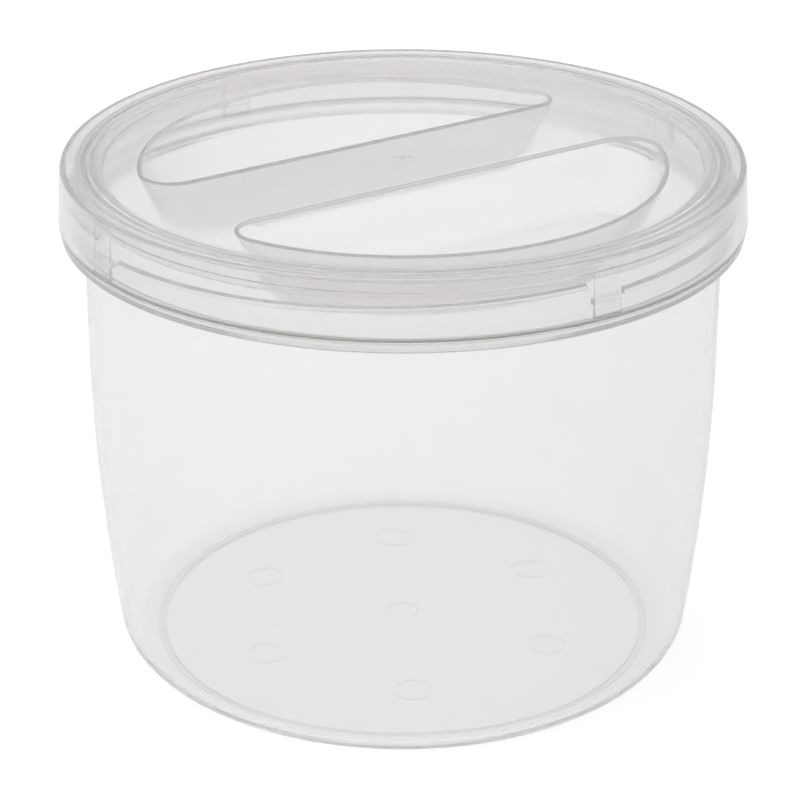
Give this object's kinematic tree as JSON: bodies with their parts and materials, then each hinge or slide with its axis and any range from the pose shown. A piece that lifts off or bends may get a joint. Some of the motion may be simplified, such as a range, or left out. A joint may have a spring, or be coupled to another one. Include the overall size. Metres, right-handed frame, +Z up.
{
  "type": "dough proofing container",
  "caption": "Round clear plastic dough proofing container: a tub with a quick thread on its neck, and a lid with finger pockets and a grip bar",
  "frame": {"origin": "the middle of the foot ring's underside, where the container stands", "axes": "+Z up along the tub's axis, +X along the lid's grip bar"},
  "size_m": [0.172, 0.172, 0.1314],
  "materials": {
    "tub_plastic": "clear moulded polypropylene, slightly milky",
    "lid_plastic": "clear moulded polypropylene, slightly milky"
  },
  "bodies": {
    "tub": {"tub": "tub_plastic"},
    "lid": {"lid": "lid_plastic"}
  },
  "joints": [
    {"name": "lid_lift", "type": "slide", "parent": "tub", "child": "lid", "axis": [0, 0, 1], "range_m": [0, 0.06]}
  ]
}
